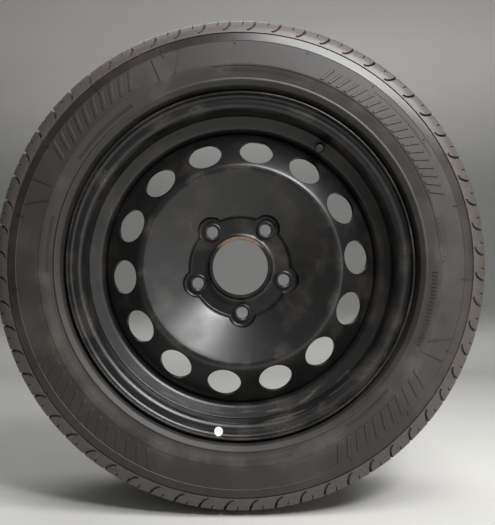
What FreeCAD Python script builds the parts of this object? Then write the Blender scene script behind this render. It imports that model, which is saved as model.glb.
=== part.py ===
import FreeCAD
import Part
import Sketcher

import math
import operator
import os
import types

# A pressed steel car wheel with its tyre and snap-in valve. The spin axis is Y, the outboard
# face looks towards -Y, and the origin is on the axis in the middle of the rim's width.
# Profiles are drawn with the radius along x and the place along the axis along y.

vector = FreeCAD.Vector

# Lengths in millimetres, angles in degrees. The comment over each group names its piece.
DIMENSIONS = {
    # Rim
    "rim_diameter": 405.6,
    "rim_width": 177.8,
    "rim_gauge": 2.5,
    "flange_height": 17.3,
    "flange_lip": 11.5,
    "flange_droop": 0.8,
    "curl_radius": 8.0,
    "heel_chamfer": 4.0,
    "seat_width": 20.5,
    "seat_taper": 5.0,
    "hump_height": 1.4,
    "hump_rise": 4.0,
    "hump_fall": 5.8,
    "ledge_drop": 2.0,
    "well_depth": 20.0,
    "well_wall_run": 6.0,
    "well_width": 51.0,
    "well_slope_run": 30.0,
    "inner_ledge_rise": 15.8,
    # Wheel disc
    "wheel_offset": 47.0,
    "disc_gauge": 4.0,
    "hub_bore": 72.6,
    "collar_height": 12.0,
    "collar_bend": 3.0,
    "pad_radius": 66.0,
    "pad_step": 3.5,
    "crown_inner_radius": 118.0,
    "crown_inner_height": 27.0,
    "crown_inner_bend": 12.0,
    "crown_outer_radius": 132.0,
    "crown_outer_height": 28.0,
    "crown_outer_bend": 8.0,
    "skirt_top": 45.0,
    "skirt_bend": 8.0,
    "skirt_end": 18.0,
    "vent_count": 14.0,
    "vent_diameter": 44.0,
    "vent_radius": 153.0,
    "bolt_count": 5.0,
    "bolt_circle": 120.0,
    "bolt_hole": 15.0,
    "bolt_lobe_radius": 18.0,
    "bolt_boss_radius": 13.0,
    "bolt_boss_height": 2.5,
    "bolt_boss_draft": 1.0,
    "bolt_seat_depth": 4.5,
    "bolt_seat_mouth": 20.6,
    "clock_angle": 56.3,
    # Welds between disc and rim
    "weld_count": 12.0,
    "weld_leg": 4.0,
    "weld_span": 18.0,
    # Tyre
    "section_height": 112.9,
    "tyre_width": 229.0,
    "bead_width": 18.5,
    "bead_fall": 3.1,
    "throat_gap": 4.4,
    "throat_flare": 9.1,
    "protector_rise": 2.8,
    "protector_height": 4.5,
    "protector_inset": 5.0,
    "protector_step": 1.6,
    "sidewall_low": 45.0,
    "sidewall_drop": 39.9,
    "sidewall_bend": 36.0,
    "sidewall_gauge": 8.0,
    "buttress_drop": 18.9,
    "buttress_inset": 7.0,
    "buttress_bend": 20.0,
    "shoulder_drop": 7.8,
    "shoulder_inset": 15.0,
    "shoulder_bend": 9.0,
    "crown_width": 30.0,
    "tread_gauge": 14.5,
    "liner_shoulder_inset": 26.5,
    "liner_apex_height": 14.0,
    "liner_apex_inset": 10.9,
    # Tread
    "groove_width": 9.0,
    "groove_floor": 7.0,
    "groove_depth": 7.5,
    "groove_inner_place": 17.0,
    "groove_outer_place": 52.0,
    "slot_count": 60.0,
    "slot_width": 3.6,
    "slot_length": 56.0,
    "slot_overrun": 1.5,
    "slot_turn": 66.0,
    "slot_depth": 5.5,
    "slot_fall": 11.0,
    # Valve
    "valve_hole": 11.3,
    "valve_place": 8.3,
    "valve_base_flat": 12.4,
    "valve_base_diameter": 15.2,
    "valve_base_height": 6.0,
    "valve_base_chamfer": 1.4,
    "valve_shoulder": 13.6,
    "valve_shoulder_height": 5.0,
    "valve_neck": 10.6,
    "valve_rubber_length": 19.0,
    "stem_diameter": 7.7,
    "stem_thread_length": 9.5,
    "stem_chamber": 5.4,
    "stem_chamber_depth": 12.0,
    "stem_bore": 4.4,
    "stem_cone": 1.2,
    "core_recess": 1.5,
    "core_thread_length": 4.0,
    "core_barrel": 4.4,
    "core_nose": 3.6,
    "core_nose_length": 1.6,
    "core_chamber": 3.4,
    "core_ledge_depth": 9.0,
    "core_pin_hole": 1.6,
    "pin_diameter": 1.1,
    "pin_recess": 0.4,
    "pin_tail": 1.0,
    "pin_collar": 2.6,
    "pin_collar_depth": 3.0,
    "pin_collar_height": 0.8,
    "poppet_diameter": 3.4,
    "poppet_height": 1.5,
    "spring_mean_diameter": 2.2,
    "spring_wire": 0.4,
    "spring_turns": 4.0,
    "cap_diameter": 9.8,
    "cap_clearance": 0.15,
    "cap_gap": 1.0,
    "cap_top": 1.4,
    "cap_edge": 0.8,
    "washer_height": 0.8,
    "washer_hole": 3.2,
    # Adhesive dot on the flange
    "dot_diameter": 11.0,
    "dot_height": 8.2,
    "dot_thickness": 0.25,
    "dot_angle": 262.5,
}

SIGNS = {"+": operator.add, "-": operator.sub, "*": operator.mul, "/": operator.truediv}


class Size:
    """A length or angle from the sheet: its value now, and the formula that keeps it."""

    def __init__(self, value, formula):
        self.value = value
        self.formula = formula

    def __add__(self, other):
        return combine(self, "+", other)

    def __sub__(self, other):
        return combine(self, "-", other)

    def __mul__(self, other):
        return combine(self, "*", other)

    def __truediv__(self, other):
        return combine(self, "/", other)

    def __neg__(self):
        return combine(0.0, "-", self)


def lift(number):
    return number if isinstance(number, Size) else Size(float(number), f"{number:.6f}")


def combine(left, sign, right):
    left = lift(left)
    right = lift(right)
    return Size(SIGNS[sign](left.value, right.value), f"({left.formula} {sign} {right.formula})")


def sine(angle):
    return Size(math.sin(math.radians(angle.value)), f"sin({angle.formula} * 1 deg)")


def cosine(angle):
    return Size(math.cos(math.radians(angle.value)), f"cos({angle.formula} * 1 deg)")


def tangent(angle):
    return Size(math.tan(math.radians(angle.value)), f"tan({angle.formula} * 1 deg)")


def slope_angle(rise, run):
    """Angle of a slope in degrees, from two lengths."""
    return Size(
        math.degrees(math.atan(rise.value / run.value)),
        f"(atan({rise.formula} / {run.formula}) / 1 deg)",
    )


def hypotenuse(first, second):
    return Size(
        math.hypot(first.value, second.value),
        f"sqrt({first.formula} * {first.formula} + {second.formula} * {second.formula})",
    )


doc = FreeCAD.newDocument("steel_wheel")
sheet = doc.addObject("Spreadsheet::Sheet", "dims")
for row, (name, number) in enumerate(DIMENSIONS.items(), 1):
    sheet.set(f"A{row}", name)
    sheet.set(f"B{row}", str(number))
    sheet.setAlias(f"B{row}", name)
doc.recompute()
dim = types.SimpleNamespace(
    **{name: Size(number, f"dims.{name}") for name, number in DIMENSIONS.items()}
)


def bind(feature, **sizes):
    for path, size in sizes.items():
        feature.setExpression(path, lift(size).formula)


def constrain(sketch, name, size, kind, *place):
    index = sketch.addConstraint(Sketcher.Constraint(kind, *place, lift(size).value))
    sketch.renameConstraint(index, name)
    sketch.setExpression(f"Constraints.{name}", lift(size).formula)


def draw(sketch, corners, closed=True):
    """Draw straight runs through the corners (x, y, bend radius or None), each bend rounded."""
    first = sketch.GeometryCount
    count = len(corners)
    edges = count if closed else count - 1
    points = [vector(lift(x).value, lift(y).value, 0) for x, y, _ in corners]
    for index in range(edges):
        line = Part.LineSegment(points[index], points[(index + 1) % count])
        sketch.addGeometry(line, False)
    for index in range(edges if closed else edges - 1):
        after = first + (index + 1) % count
        sketch.addConstraint(Sketcher.Constraint("Coincident", first + index, 2, after, 1))
    for index, (x, y, _) in enumerate(corners):
        point = (first + index, 1) if index < edges else (first + index - 1, 2)
        constrain(sketch, f"x{first}_{index}", x, "DistanceX", -1, 1, *point)
        constrain(sketch, f"y{first}_{index}", y, "DistanceY", -1, 1, *point)
    for index, (_, _, bend) in enumerate(corners):
        if bend is None:
            continue
        arc = sketch.GeometryCount
        sketch.fillet(first + (index - 1) % edges, 2, bend.value, True, True)
        constrain(sketch, f"bend{first}_{index}", bend, "Radius", arc)


def free_sketch(name, corners, closed=True):
    sketch = doc.addObject("Sketcher::SketchObject", name)
    draw(sketch, corners, closed)
    return sketch


def origin_item(body, role):
    return next(item for item in body.Origin.OriginFeatures if item.Role == role)


def body_sketch(body, name):
    sketch = body.newObject("Sketcher::SketchObject", name)
    sketch.AttachmentSupport = (origin_item(body, "XY_Plane"), [""])
    sketch.MapMode = "FlatFace"
    return sketch


def turned_body(name, *outlines):
    """A body turned about its own Y axis from closed outlines."""
    body = doc.addObject("PartDesign::Body", name)
    sketch = body_sketch(body, f"{name}_profile")
    for outline in outlines:
        draw(sketch, outline)
    turn = body.newObject("PartDesign::Revolution", f"{name}_turn")
    turn.Profile = sketch
    turn.ReferenceAxis = (sketch, ["V_Axis"])
    turn.Angle = 360
    sketch.Visibility = False
    return body


def turned(name, source, angle=360):
    """A solid turned about the spin axis from a flat section."""
    turn = doc.addObject("Part::Revolution", name)
    turn.Source = source
    turn.Axis = vector(0, 1, 0)
    turn.Base = vector(0, 0, 0)
    turn.Solid = True
    turn.Angle = lift(angle).value
    if isinstance(angle, Size):
        bind(turn, Angle=angle)
    return turn


def sheet_metal(name, line, gauge):
    """A band of even thickness on one side of an open line."""
    band = doc.addObject("Part::Offset2D", name)
    band.Source = line
    band.Mode = "Skin"
    band.Join = "Intersection"
    band.Fill = True
    band.Value = gauge.value
    bind(band, Value=gauge)
    return band


def place(feature, radius, axial, clock, lean, upright=False):
    """Set a piece at a radius, a place along the axis and a clock angle, leaning by an angle."""
    radius, axial, clock, lean = (lift(size) for size in (radius, axial, clock, lean))
    turn = f"rotationy(-1 deg * {clock.formula}) * rotationz(1 deg * {lean.formula})"
    if upright:
        turn += " * rotationx(-90 deg)"
    across = (radius * cosine(clock)).formula
    up = (radius * sine(clock)).formula
    base = f"vector({across}; {axial.formula}; {up})"
    feature.setExpression("Placement", f"placement({base}; {turn})")


def cylinder(name, radius, height, *where):
    """A round tool whose axis starts along the wheel's axis, towards inboard."""
    tool = doc.addObject("Part::Cylinder", name)
    bind(tool, Radius=radius, Height=height)
    place(tool, *where, upright=True)
    return tool


def cone(name, first_radius, last_radius, height, *where):
    tool = doc.addObject("Part::Cone", name)
    bind(tool, Radius1=first_radius, Radius2=last_radius, Height=height)
    place(tool, *where, upright=True)
    return tool


def gather(kind, name, pieces):
    group = doc.addObject(kind, name)
    if kind == "Part::Compound":
        group.Links = pieces
    else:
        group.Shapes = pieces
    return group


def boolean(kind, name, base, tool):
    result = doc.addObject(kind, name)
    result.Base = base
    result.Tool = tool
    return result


def spread(count):
    """Clock angles of evenly spaced features, the first in line with the valve."""
    step = lift(360.0) / count
    return [dim.clock_angle + step * index for index in range(int(count.value))]


# Shared places of the rim
seat = dim.rim_diameter / 2
half = dim.rim_width / 2
seat_inner = seat - dim.seat_width * tangent(dim.seat_taper)
seat_edge = half - dim.seat_width
hump_edge = seat_edge - dim.hump_rise
ledge_edge = hump_edge - dim.hump_fall
ledge = seat_inner + dim.hump_height - dim.ledge_drop
well = seat - dim.well_depth
well_edge = ledge_edge - dim.well_wall_run
well_back = dim.well_width - well_edge
barrel = well - dim.rim_gauge


def heel_corners(side):
    """The corner between a flange and its bead seat, which the tyre's bead fills."""
    back = dim.heel_chamfer
    return [
        (seat + back, half * side, None),
        (seat - back * tangent(dim.seat_taper), (half - back) * side, None),
    ]


def flange_corners(side):
    """Tyre side of one flange, bead seat and hump, from the lip inwards."""
    return [
        (seat + dim.flange_height - dim.flange_droop, (half + dim.flange_lip) * side, None),
        (seat + dim.flange_height, half * side, dim.curl_radius),
        *heel_corners(side),
        (seat_inner, seat_edge * side, None),
        (seat_inner + dim.hump_height, hump_edge * side, None),
        (ledge, ledge_edge * side, None),
    ]


def make_rim():
    corners = flange_corners(-1.0)
    corners += [
        (well, -well_edge, None),
        (well, well_back, None),
        (well + dim.inner_ledge_rise, well_back + dim.well_slope_run, None),
    ]
    corners += list(reversed(flange_corners(1.0)))
    line = free_sketch("rim_line", corners, closed=False)
    barrel_solid = turned("rim_barrel", sheet_metal("rim_section", line, -dim.rim_gauge))
    hole = cylinder("rim_valve_hole", dim.valve_hole / 2, dim.rim_gauge * 4, *valve_seat(-2.0))
    return line, boolean("Part::Cut", "rim", barrel_solid, hole)


# The valve stands square on the wall between the hump and the well
wall_fall = ledge - well
wall_lean = slope_angle(dim.well_wall_run, wall_fall)
wall_share = dim.valve_place / hypotenuse(dim.well_wall_run, wall_fall)
valve_radius = well + wall_fall * wall_share
valve_axial = -well_edge - dim.well_wall_run * wall_share
valve_lean = lift(180.0) - wall_lean


def valve_seat(height):
    """Place on the valve's axis, so many rim gauges out from the wall's tyre side."""
    out = dim.rim_gauge * height
    return (
        valve_radius - out * sine(wall_lean),
        valve_axial - out * cosine(wall_lean),
        dim.clock_angle,
        valve_lean,
    )


# Shared places of the disc
pad_front = -(dim.wheel_offset + dim.disc_gauge)
bowl_foot = dim.pad_radius + dim.pad_step
skirt_slope_run = barrel - dim.crown_outer_radius
crown_front = pad_front - dim.crown_outer_height
skirt_front = -dim.skirt_top
vent_lean = slope_angle(skirt_front - crown_front, skirt_slope_run)
vent_front = crown_front + (dim.vent_radius - dim.crown_outer_radius) * tangent(vent_lean)


def make_disc():
    collar = dim.hub_bore / 2 + dim.disc_gauge
    bowl_front = pad_front - dim.pad_step
    crown_inner_front = pad_front - dim.crown_inner_height
    line = free_sketch("disc_line", [
        (collar, pad_front - dim.collar_height, None),
        (collar, pad_front, dim.collar_bend),
        (dim.pad_radius, pad_front, None),
        (bowl_foot, bowl_front, None),
        (dim.crown_inner_radius, crown_inner_front, dim.crown_inner_bend),
        (dim.crown_outer_radius, crown_front, dim.crown_outer_bend),
        (barrel, skirt_front, dim.skirt_bend),
        (barrel, -dim.skirt_end, None),
    ], closed=False)
    pressing = turned("disc_pressing", sheet_metal("disc_section", line, -dim.disc_gauge))

    # Lobes: the flat pad reaches out round each bolt, backed by metal behind the bowl
    lobe_outer = dim.bolt_lobe_radius + dim.disc_gauge
    backing_edge = dim.bolt_circle / 2 + lobe_outer + dim.disc_gauge
    bowl_slope = (dim.crown_inner_height - dim.pad_step) / (dim.crown_inner_radius - bowl_foot)
    middle = dim.disc_gauge / 2
    backing = turned("lobe_backing", free_sketch("lobe_backing_section", [
        (dim.pad_radius - dim.disc_gauge, -dim.wheel_offset, None),
        (backing_edge, -dim.wheel_offset, None),
        (backing_edge, bowl_front + middle - (backing_edge - bowl_foot) * bowl_slope, None),
        (bowl_foot, bowl_front + middle, None),
        (dim.pad_radius - dim.disc_gauge, pad_front + middle, None),
    ]))
    lobes = []
    bosses = []
    cuts = []
    for index, angle in enumerate(spread(dim.bolt_count)):
        at_back = (dim.bolt_circle / 2, -dim.wheel_offset, angle, 180.0)
        at_front = (dim.bolt_circle / 2, pad_front, angle, 180.0)
        reach = dim.crown_inner_height
        lobes.append(cylinder(f"lobe_{index}", lobe_outer, reach, *at_back))
        cuts.append(cylinder(f"lobe_pocket_{index}", dim.bolt_lobe_radius, reach, *at_front))
        boss = cone(
            f"bolt_boss_{index}", dim.bolt_boss_radius, dim.bolt_boss_radius - dim.bolt_boss_draft,
            dim.bolt_boss_height, *at_front,
        )
        seat_floor = pad_front - dim.bolt_boss_height + dim.bolt_seat_depth
        bolt_seat = cone(
            f"bolt_seat_{index}", dim.bolt_hole / 2, dim.bolt_seat_mouth / 2, dim.bolt_seat_depth,
            dim.bolt_circle / 2, seat_floor, angle, 180.0,
        )
        hole = cylinder(f"bolt_hole_{index}", dim.bolt_hole / 2, reach, *at_back)
        bosses.append((boss, gather("Part::MultiFuse", f"bolt_cut_{index}", [bolt_seat, hole])))
    filled = gather("Part::MultiFuse", "disc_filled", [
        pressing,
        boolean("Part::Common", "lobe_bosses", backing, gather("Part::MultiFuse", "lobes", lobes)),
    ])
    pocketed = boolean(
        "Part::Cut", "disc_pocketed", filled, gather("Part::MultiFuse", "lobe_pockets", cuts)
    )
    bossed = gather("Part::MultiFuse", "disc_bossed", [pocketed] + [boss for boss, _ in bosses])
    holes = [cut for _, cut in bosses]
    depth = dim.disc_gauge * 3
    for index, angle in enumerate(spread(dim.vent_count)):
        start = (
            dim.vent_radius + depth * sine(vent_lean),
            vent_front - depth * cosine(vent_lean),
            angle,
            vent_lean,
        )
        holes.append(cylinder(f"vent_{index}", dim.vent_diameter / 2, depth * 2, *start))
    return boolean("Part::Cut", "wheel_disc", bossed, gather("Part::MultiFuse", "holes", holes))


def make_welds():
    edge = -dim.skirt_end
    section = free_sketch("weld_section", [
        (barrel - dim.weld_leg, edge, None),
        (barrel, edge, None),
        (barrel, edge + dim.weld_leg, None),
    ])
    beads = []
    for index, angle in enumerate(spread(dim.weld_count)):
        bead = turned(f"weld_{index}", section, dim.weld_span)
        place(bead, 0.0, 0.0, angle, 0.0)
        beads.append(bead)
    return gather("Part::Compound", "disc_welds", beads)


def make_dot(line):
    """A thin disc of film that follows the outboard face of the flange."""
    film = turned("dot_film", sheet_metal("dot_section", line, -(dim.rim_gauge + dim.dot_thickness)))
    bare = turned("dot_ground", sheet_metal("dot_ground_section", line, -dim.rim_gauge))
    skin = boolean("Part::Cut", "dot_skin", film, bare)
    reach = dim.flange_lip
    spot = cylinder(
        "dot_spot", dim.dot_diameter / 2, reach, seat + dim.dot_height, -half - reach, dim.dot_angle, 0.0
    )
    return boolean("Part::Common", "match_dot", skin, spot)


# The tyre's overall radius, half width and tread slots
tyre_radius = seat + dim.section_height
tyre_half = dim.tyre_width / 2
sidewall_top = tyre_radius - dim.sidewall_drop
slot_end = tyre_half + dim.slot_overrun
slot_start = slot_end - dim.slot_length
slot_sweep = dim.slot_length / sine(dim.slot_turn)


def tyre_side(side):
    """Outer corners of one side of the tyre, from the bead heel to the tread shoulder."""
    flange_top = seat + dim.flange_height
    throat = flange_top + dim.throat_gap
    protector_foot = throat + dim.protector_rise
    protector_top = protector_foot + dim.protector_height
    protector_face = tyre_half - dim.protector_inset
    return [
        *reversed(heel_corners(side)),
        (flange_top - dim.bead_fall, half * side, None),
        (throat, (half + dim.throat_flare) * side, None),
        (protector_foot, protector_face * side, None),
        (protector_top, protector_face * side, None),
        (protector_top + dim.protector_step, (protector_face - dim.protector_step) * side, None),
        (seat + dim.sidewall_low, tyre_half * side, dim.sidewall_bend),
        (sidewall_top, tyre_half * side, dim.sidewall_bend),
        (tyre_radius - dim.buttress_drop, (tyre_half - dim.buttress_inset) * side, dim.buttress_bend),
        (tyre_radius - dim.shoulder_drop, (tyre_half - dim.shoulder_inset) * side, dim.shoulder_bend),
    ]


def liner_side(side):
    """Inner corners of one side of the tyre, from the bead toe to the crown."""
    toe = seat - dim.bead_width * tangent(dim.seat_taper)
    inner_half = tyre_half - dim.sidewall_gauge
    return [
        (toe, (half - dim.bead_width) * side, None),
        (seat + dim.liner_apex_height, (half - dim.liner_apex_inset) * side, None),
        (seat + dim.sidewall_low, inner_half * side, None),
        (sidewall_top, inner_half * side, None),
        (tyre_radius - dim.tread_gauge, (tyre_half - dim.liner_shoulder_inset) * side, None),
    ]


def make_tyre():
    outline = tyre_side(-1.0)
    for side in (-1.0, 1.0):
        outline.append((tyre_radius, dim.crown_width * side, None))
    outline += list(reversed(tyre_side(1.0)))
    outline += liner_side(1.0)
    outline += list(reversed(liner_side(-1.0)))
    body = turned_body("tyre", outline)

    # Four grooves round the tread
    top = tyre_radius + dim.groove_depth
    floor = tyre_radius - dim.groove_depth
    rings = body_sketch(body, "tread_rings")
    for place_along in (dim.groove_inner_place, dim.groove_outer_place):
        for side in (-1.0, 1.0):
            centre = place_along * side
            draw(rings, [
                (floor, centre - dim.groove_floor / 2, None),
                (floor, centre + dim.groove_floor / 2, None),
                (top, centre + dim.groove_width / 2 + (dim.groove_width - dim.groove_floor) / 2, None),
                (top, centre - dim.groove_width / 2 - (dim.groove_width - dim.groove_floor) / 2, None),
            ])
    groove = body.newObject("PartDesign::Groove", "tread_grooves")
    groove.Profile = rings
    groove.ReferenceAxis = (rings, ["V_Axis"])
    groove.Angle = 360
    rings.Visibility = False

    for side, name in ((-1.0, "outboard"), (1.0, "inboard")):
        shoulder_slots(body, side, name)
    return body


def shoulder_slots(body, side, name):
    """Curved slots that open at the shoulder, each cut upwards from its own sloping floor."""
    sketch = body_sketch(body, f"{name}_slot")
    fall = tangent(dim.slot_fall)
    height = tyre_radius - dim.slot_depth + slot_start * fall
    lean = dim.slot_fall * (-side)
    sketch.setExpression(
        "AttachmentOffset",
        f"placement(vector(0; 0; {height.formula}); rotationx(1 deg * {lean.formula}))",
    )
    centre = vector(-slot_sweep.value, slot_start.value * side, 0)
    arcs = []
    for change in (-1.0, 1.0):
        radius = slot_sweep + dim.slot_width / 2 * change
        turn = math.asin(dim.slot_length.value / radius.value)
        ends = (-turn, 0.0) if side < 0 else (0.0, turn)
        circle = Part.Circle(centre, vector(0, 0, 1), radius.value)
        arc = sketch.addGeometry(Part.ArcOfCircle(circle, *ends), False)
        constrain(sketch, f"radius{arc}", radius, "Radius", arc)
        arcs.append(arc)
    near = 2 if side < 0 else 1
    far = 3 - near
    lines = []
    for end in (near, far):
        points = [sketch.getPoint(arc, end) for arc in arcs]
        line = sketch.addGeometry(Part.LineSegment(*points), False)
        for arc, tip in zip(arcs, (1, 2)):
            sketch.addConstraint(Sketcher.Constraint("Coincident", arc, end, line, tip))
        lines.append(line)
    sketch.addConstraint(Sketcher.Constraint("Coincident", arcs[0], 3, arcs[1], 3))
    constrain(sketch, "centre_x", -slot_sweep, "DistanceX", -1, 1, arcs[0], 3)
    constrain(sketch, "centre_y", slot_start * side, "DistanceY", -1, 1, arcs[0], 3)
    constrain(sketch, "end_y", slot_end * side, "DistanceY", -1, 1, arcs[0], far)
    for line in lines:
        sketch.addConstraint(Sketcher.Constraint("Horizontal", line))
    # The near ends lie level with the arcs' centre
    sketch.addConstraint(Sketcher.Constraint("Horizontal", arcs[0], 3, arcs[0], near))

    slot = body.newObject("PartDesign::Pocket", f"{name}_slot_cut")
    slot.Profile = sketch
    slot.Reversed = True
    bind(slot, Length=dim.tread_gauge * 2)
    ring = body.newObject("PartDesign::PolarPattern", f"{name}_slots")
    ring.Originals = [slot]
    ring.Axis = (origin_item(body, "Y_Axis"), [""])
    ring.Angle = 360
    bind(ring, Occurrences=dim.slot_count)
    body.Tip = ring
    sketch.Visibility = False


# Heights along the valve's own axis, from the tyre side of the rim's wall
rubber_top = dim.rim_gauge + dim.valve_rubber_length
stem_top = rubber_top + dim.stem_thread_length
stem_radius = dim.stem_diameter / 2
core_floor = stem_top - dim.stem_chamber_depth
washer_top = stem_top + dim.washer_height
pin_radius = dim.pin_diameter / 2


def on_valve(body):
    place(body, *valve_seat(0.0))
    return body


def make_valve():
    hole = dim.valve_hole / 2
    base = dim.valve_base_diameter / 2
    foot = -dim.valve_base_height
    rubber = turned_body("valve_body", [
        (stem_radius, foot, None),
        (base - dim.valve_base_chamfer, foot, None),
        (base, foot + dim.valve_base_chamfer, None),
        (base, -dim.valve_base_chamfer, None),
        (dim.valve_base_flat / 2, 0.0, None),
        (hole, 0.0, None),
        (hole, dim.rim_gauge, None),
        (dim.valve_shoulder / 2, dim.rim_gauge, None),
        (dim.valve_shoulder / 2, dim.rim_gauge + dim.valve_shoulder_height, None),
        (dim.valve_neck / 2, rubber_top, None),
        (stem_radius, rubber_top, None),
    ])
    stem = turned_body("valve_stem", [
        (dim.stem_bore / 2, foot, None),
        (stem_radius, foot, None),
        (stem_radius, stem_top, None),
        (dim.stem_chamber / 2, stem_top, None),
        (dim.stem_chamber / 2, core_floor, None),
        (dim.stem_bore / 2, core_floor - dim.stem_cone, None),
    ])
    nose_top = core_floor + dim.core_nose_length
    ledge_top = stem_top - dim.core_ledge_depth
    core_top = stem_top - dim.core_recess
    barrel_body = turned_body("valve_core_barrel", [
        (dim.core_pin_hole / 2, core_floor, None),
        (dim.core_nose / 2, core_floor, None),
        (dim.core_nose / 2, nose_top, None),
        (dim.core_barrel / 2, nose_top, None),
        (dim.core_barrel / 2, core_top - dim.core_thread_length, None),
        (dim.stem_chamber / 2, core_top - dim.core_thread_length, None),
        (dim.stem_chamber / 2, core_top, None),
        (dim.core_chamber / 2, core_top, None),
        (dim.core_chamber / 2, ledge_top, None),
        (dim.core_pin_hole / 2, ledge_top, None),
    ])
    seal = turned_body("valve_core_seal", [
        (dim.core_nose / 2, core_floor, None),
        (dim.stem_chamber / 2, core_floor, None),
        (dim.stem_chamber / 2, nose_top, None),
        (dim.core_nose / 2, nose_top, None),
    ])
    poppet_floor = core_floor - dim.poppet_height
    collar_top = stem_top - dim.pin_collar_depth
    collar_floor = collar_top - dim.pin_collar_height
    pin = turned_body("valve_pin", [
        (0.0, poppet_floor - dim.pin_tail, None),
        (pin_radius, poppet_floor - dim.pin_tail, None),
        (pin_radius, collar_floor, None),
        (dim.pin_collar / 2, collar_floor, None),
        (dim.pin_collar / 2, collar_top, None),
        (pin_radius, collar_top, None),
        (pin_radius, stem_top - dim.pin_recess, None),
        (0.0, stem_top - dim.pin_recess, None),
    ])
    poppet = turned_body("valve_poppet", [
        (pin_radius, poppet_floor, None),
        (dim.poppet_diameter / 2, poppet_floor, None),
        (dim.poppet_diameter / 2, core_floor, None),
        (pin_radius, core_floor, None),
    ])
    cap_foot = rubber_top + dim.cap_gap
    cap_inside = stem_radius + dim.cap_clearance
    cap_top = washer_top + dim.cap_top
    cap = turned_body("valve_cap", [
        (cap_inside, cap_foot, None),
        (dim.cap_diameter / 2, cap_foot, None),
        (dim.cap_diameter / 2, cap_top - dim.cap_edge, None),
        (dim.cap_diameter / 2 - dim.cap_edge, cap_top, None),
        (0.0, cap_top, None),
        (0.0, washer_top, None),
        (cap_inside, washer_top, None),
    ])
    washer = turned_body("valve_cap_washer", [
        (dim.washer_hole / 2, stem_top, None),
        (stem_radius, stem_top, None),
        (stem_radius, washer_top, None),
        (dim.washer_hole / 2, washer_top, None),
    ])
    bodies = [rubber, stem, barrel_body, seal, pin, poppet, cap, washer]
    for body in bodies:
        on_valve(body)
    return bodies + [make_spring(ledge_top, collar_floor)]


def make_spring(floor, top):
    """A wire coil round the pin, between the barrel's ledge and the pin's collar."""
    wire = dim.spring_wire
    rise = top - floor - wire
    body = doc.addObject("PartDesign::Body", "valve_spring")
    section = body_sketch(body, "valve_spring_wire")
    inside = dim.spring_mean_diameter / 2 - wire / 2
    draw(section, [
        (inside, floor, None),
        (inside + wire, floor, None),
        (inside + wire, floor + wire, None),
        (inside, floor + wire, None),
    ])
    coil = body.newObject("PartDesign::AdditiveHelix", "valve_spring_coil")
    coil.Profile = section
    coil.ReferenceAxis = (section, ["V_Axis"])
    coil.Mode = "height-turns-angle"
    coil.Height = rise.value
    coil.Turns = dim.spring_turns.value
    bind(coil, Height=rise, Turns=dim.spring_turns)
    section.Visibility = False
    return on_valve(body)


rim_line, rim = make_rim()
nodes = [rim, make_disc(), make_welds(), make_tyre(), make_dot(rim_line)]
nodes += make_valve()
doc.recompute()

faults = [item.Label for item in doc.Objects if {"Invalid", "Error"} & set(item.State)]
faults += [item.Label for item in nodes if item.Shape.isNull() or not item.Shape.isValid()]
if faults:
    raise RuntimeError(f"failed: {faults}")

os.makedirs("parts", exist_ok=True)
for item in nodes:
    item.Shape.exportStep(f"parts/{item.Label}.step")
    print(f"{item.Label}: {item.Shape.Volume / 1000:.2f} cm3, {len(item.Shape.Solids)} solids")
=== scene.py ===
import math

import bmesh
import bpy
from mathutils import Matrix, Vector


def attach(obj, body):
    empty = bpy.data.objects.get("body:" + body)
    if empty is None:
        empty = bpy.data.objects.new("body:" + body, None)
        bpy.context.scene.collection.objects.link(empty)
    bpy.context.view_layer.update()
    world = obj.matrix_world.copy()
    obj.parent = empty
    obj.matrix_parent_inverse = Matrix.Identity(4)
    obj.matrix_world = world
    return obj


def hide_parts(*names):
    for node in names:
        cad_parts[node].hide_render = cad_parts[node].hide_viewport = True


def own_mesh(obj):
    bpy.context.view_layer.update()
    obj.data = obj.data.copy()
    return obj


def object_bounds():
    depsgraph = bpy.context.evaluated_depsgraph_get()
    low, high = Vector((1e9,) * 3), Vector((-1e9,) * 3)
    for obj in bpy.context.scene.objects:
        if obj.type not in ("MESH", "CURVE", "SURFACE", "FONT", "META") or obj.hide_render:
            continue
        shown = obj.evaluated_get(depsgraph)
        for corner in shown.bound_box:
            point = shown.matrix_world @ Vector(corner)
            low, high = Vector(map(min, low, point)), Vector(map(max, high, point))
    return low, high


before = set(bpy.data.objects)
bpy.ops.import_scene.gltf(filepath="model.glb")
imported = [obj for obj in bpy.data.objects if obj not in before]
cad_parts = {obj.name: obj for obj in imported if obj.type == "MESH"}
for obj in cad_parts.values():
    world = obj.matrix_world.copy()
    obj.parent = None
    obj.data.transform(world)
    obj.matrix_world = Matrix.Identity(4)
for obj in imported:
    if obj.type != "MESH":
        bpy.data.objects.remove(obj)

CAD_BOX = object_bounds()

bl_info = {
    "name": "Steel wheel and tyre",
    "version": (1, 0, 0),
    "blender": (4, 5, 0),
    "location": "View3D > Sidebar > Wheel",
    "description": "Models a pressed steel wheel with its tyre and valve around a fixed frame",
    "category": "Object",
}

MM = 0.001
TURN_STEPS = 240
ARC_STEP = math.radians(9)
SPIN_AXIS = (0.0, 1.0, 0.0)  # a spin about it goes towards greater clock angles
SHARP_EDGE = math.radians(60)  # edges that turn by more than this are bevelled

# Points closer together than this become one, in millimetres
SEAM = 0.01
TYRE_SEAM = 0.02
DISC_SEAM = 0.12
COIL_SEAM = 0.001

# Sockets of the colour mixing node, and the eased setting of the range node
FACTOR, FIRST, SECOND, MIXED = 0, 6, 7, 2
EASED = {"interpolation_type": "SMOOTHSTEP"}

# Sections are listed as (radius, place along the axis, bend radius) in millimetres. The outboard
# side is towards -Y. Clock angles are counted from +X towards +Z.

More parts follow.
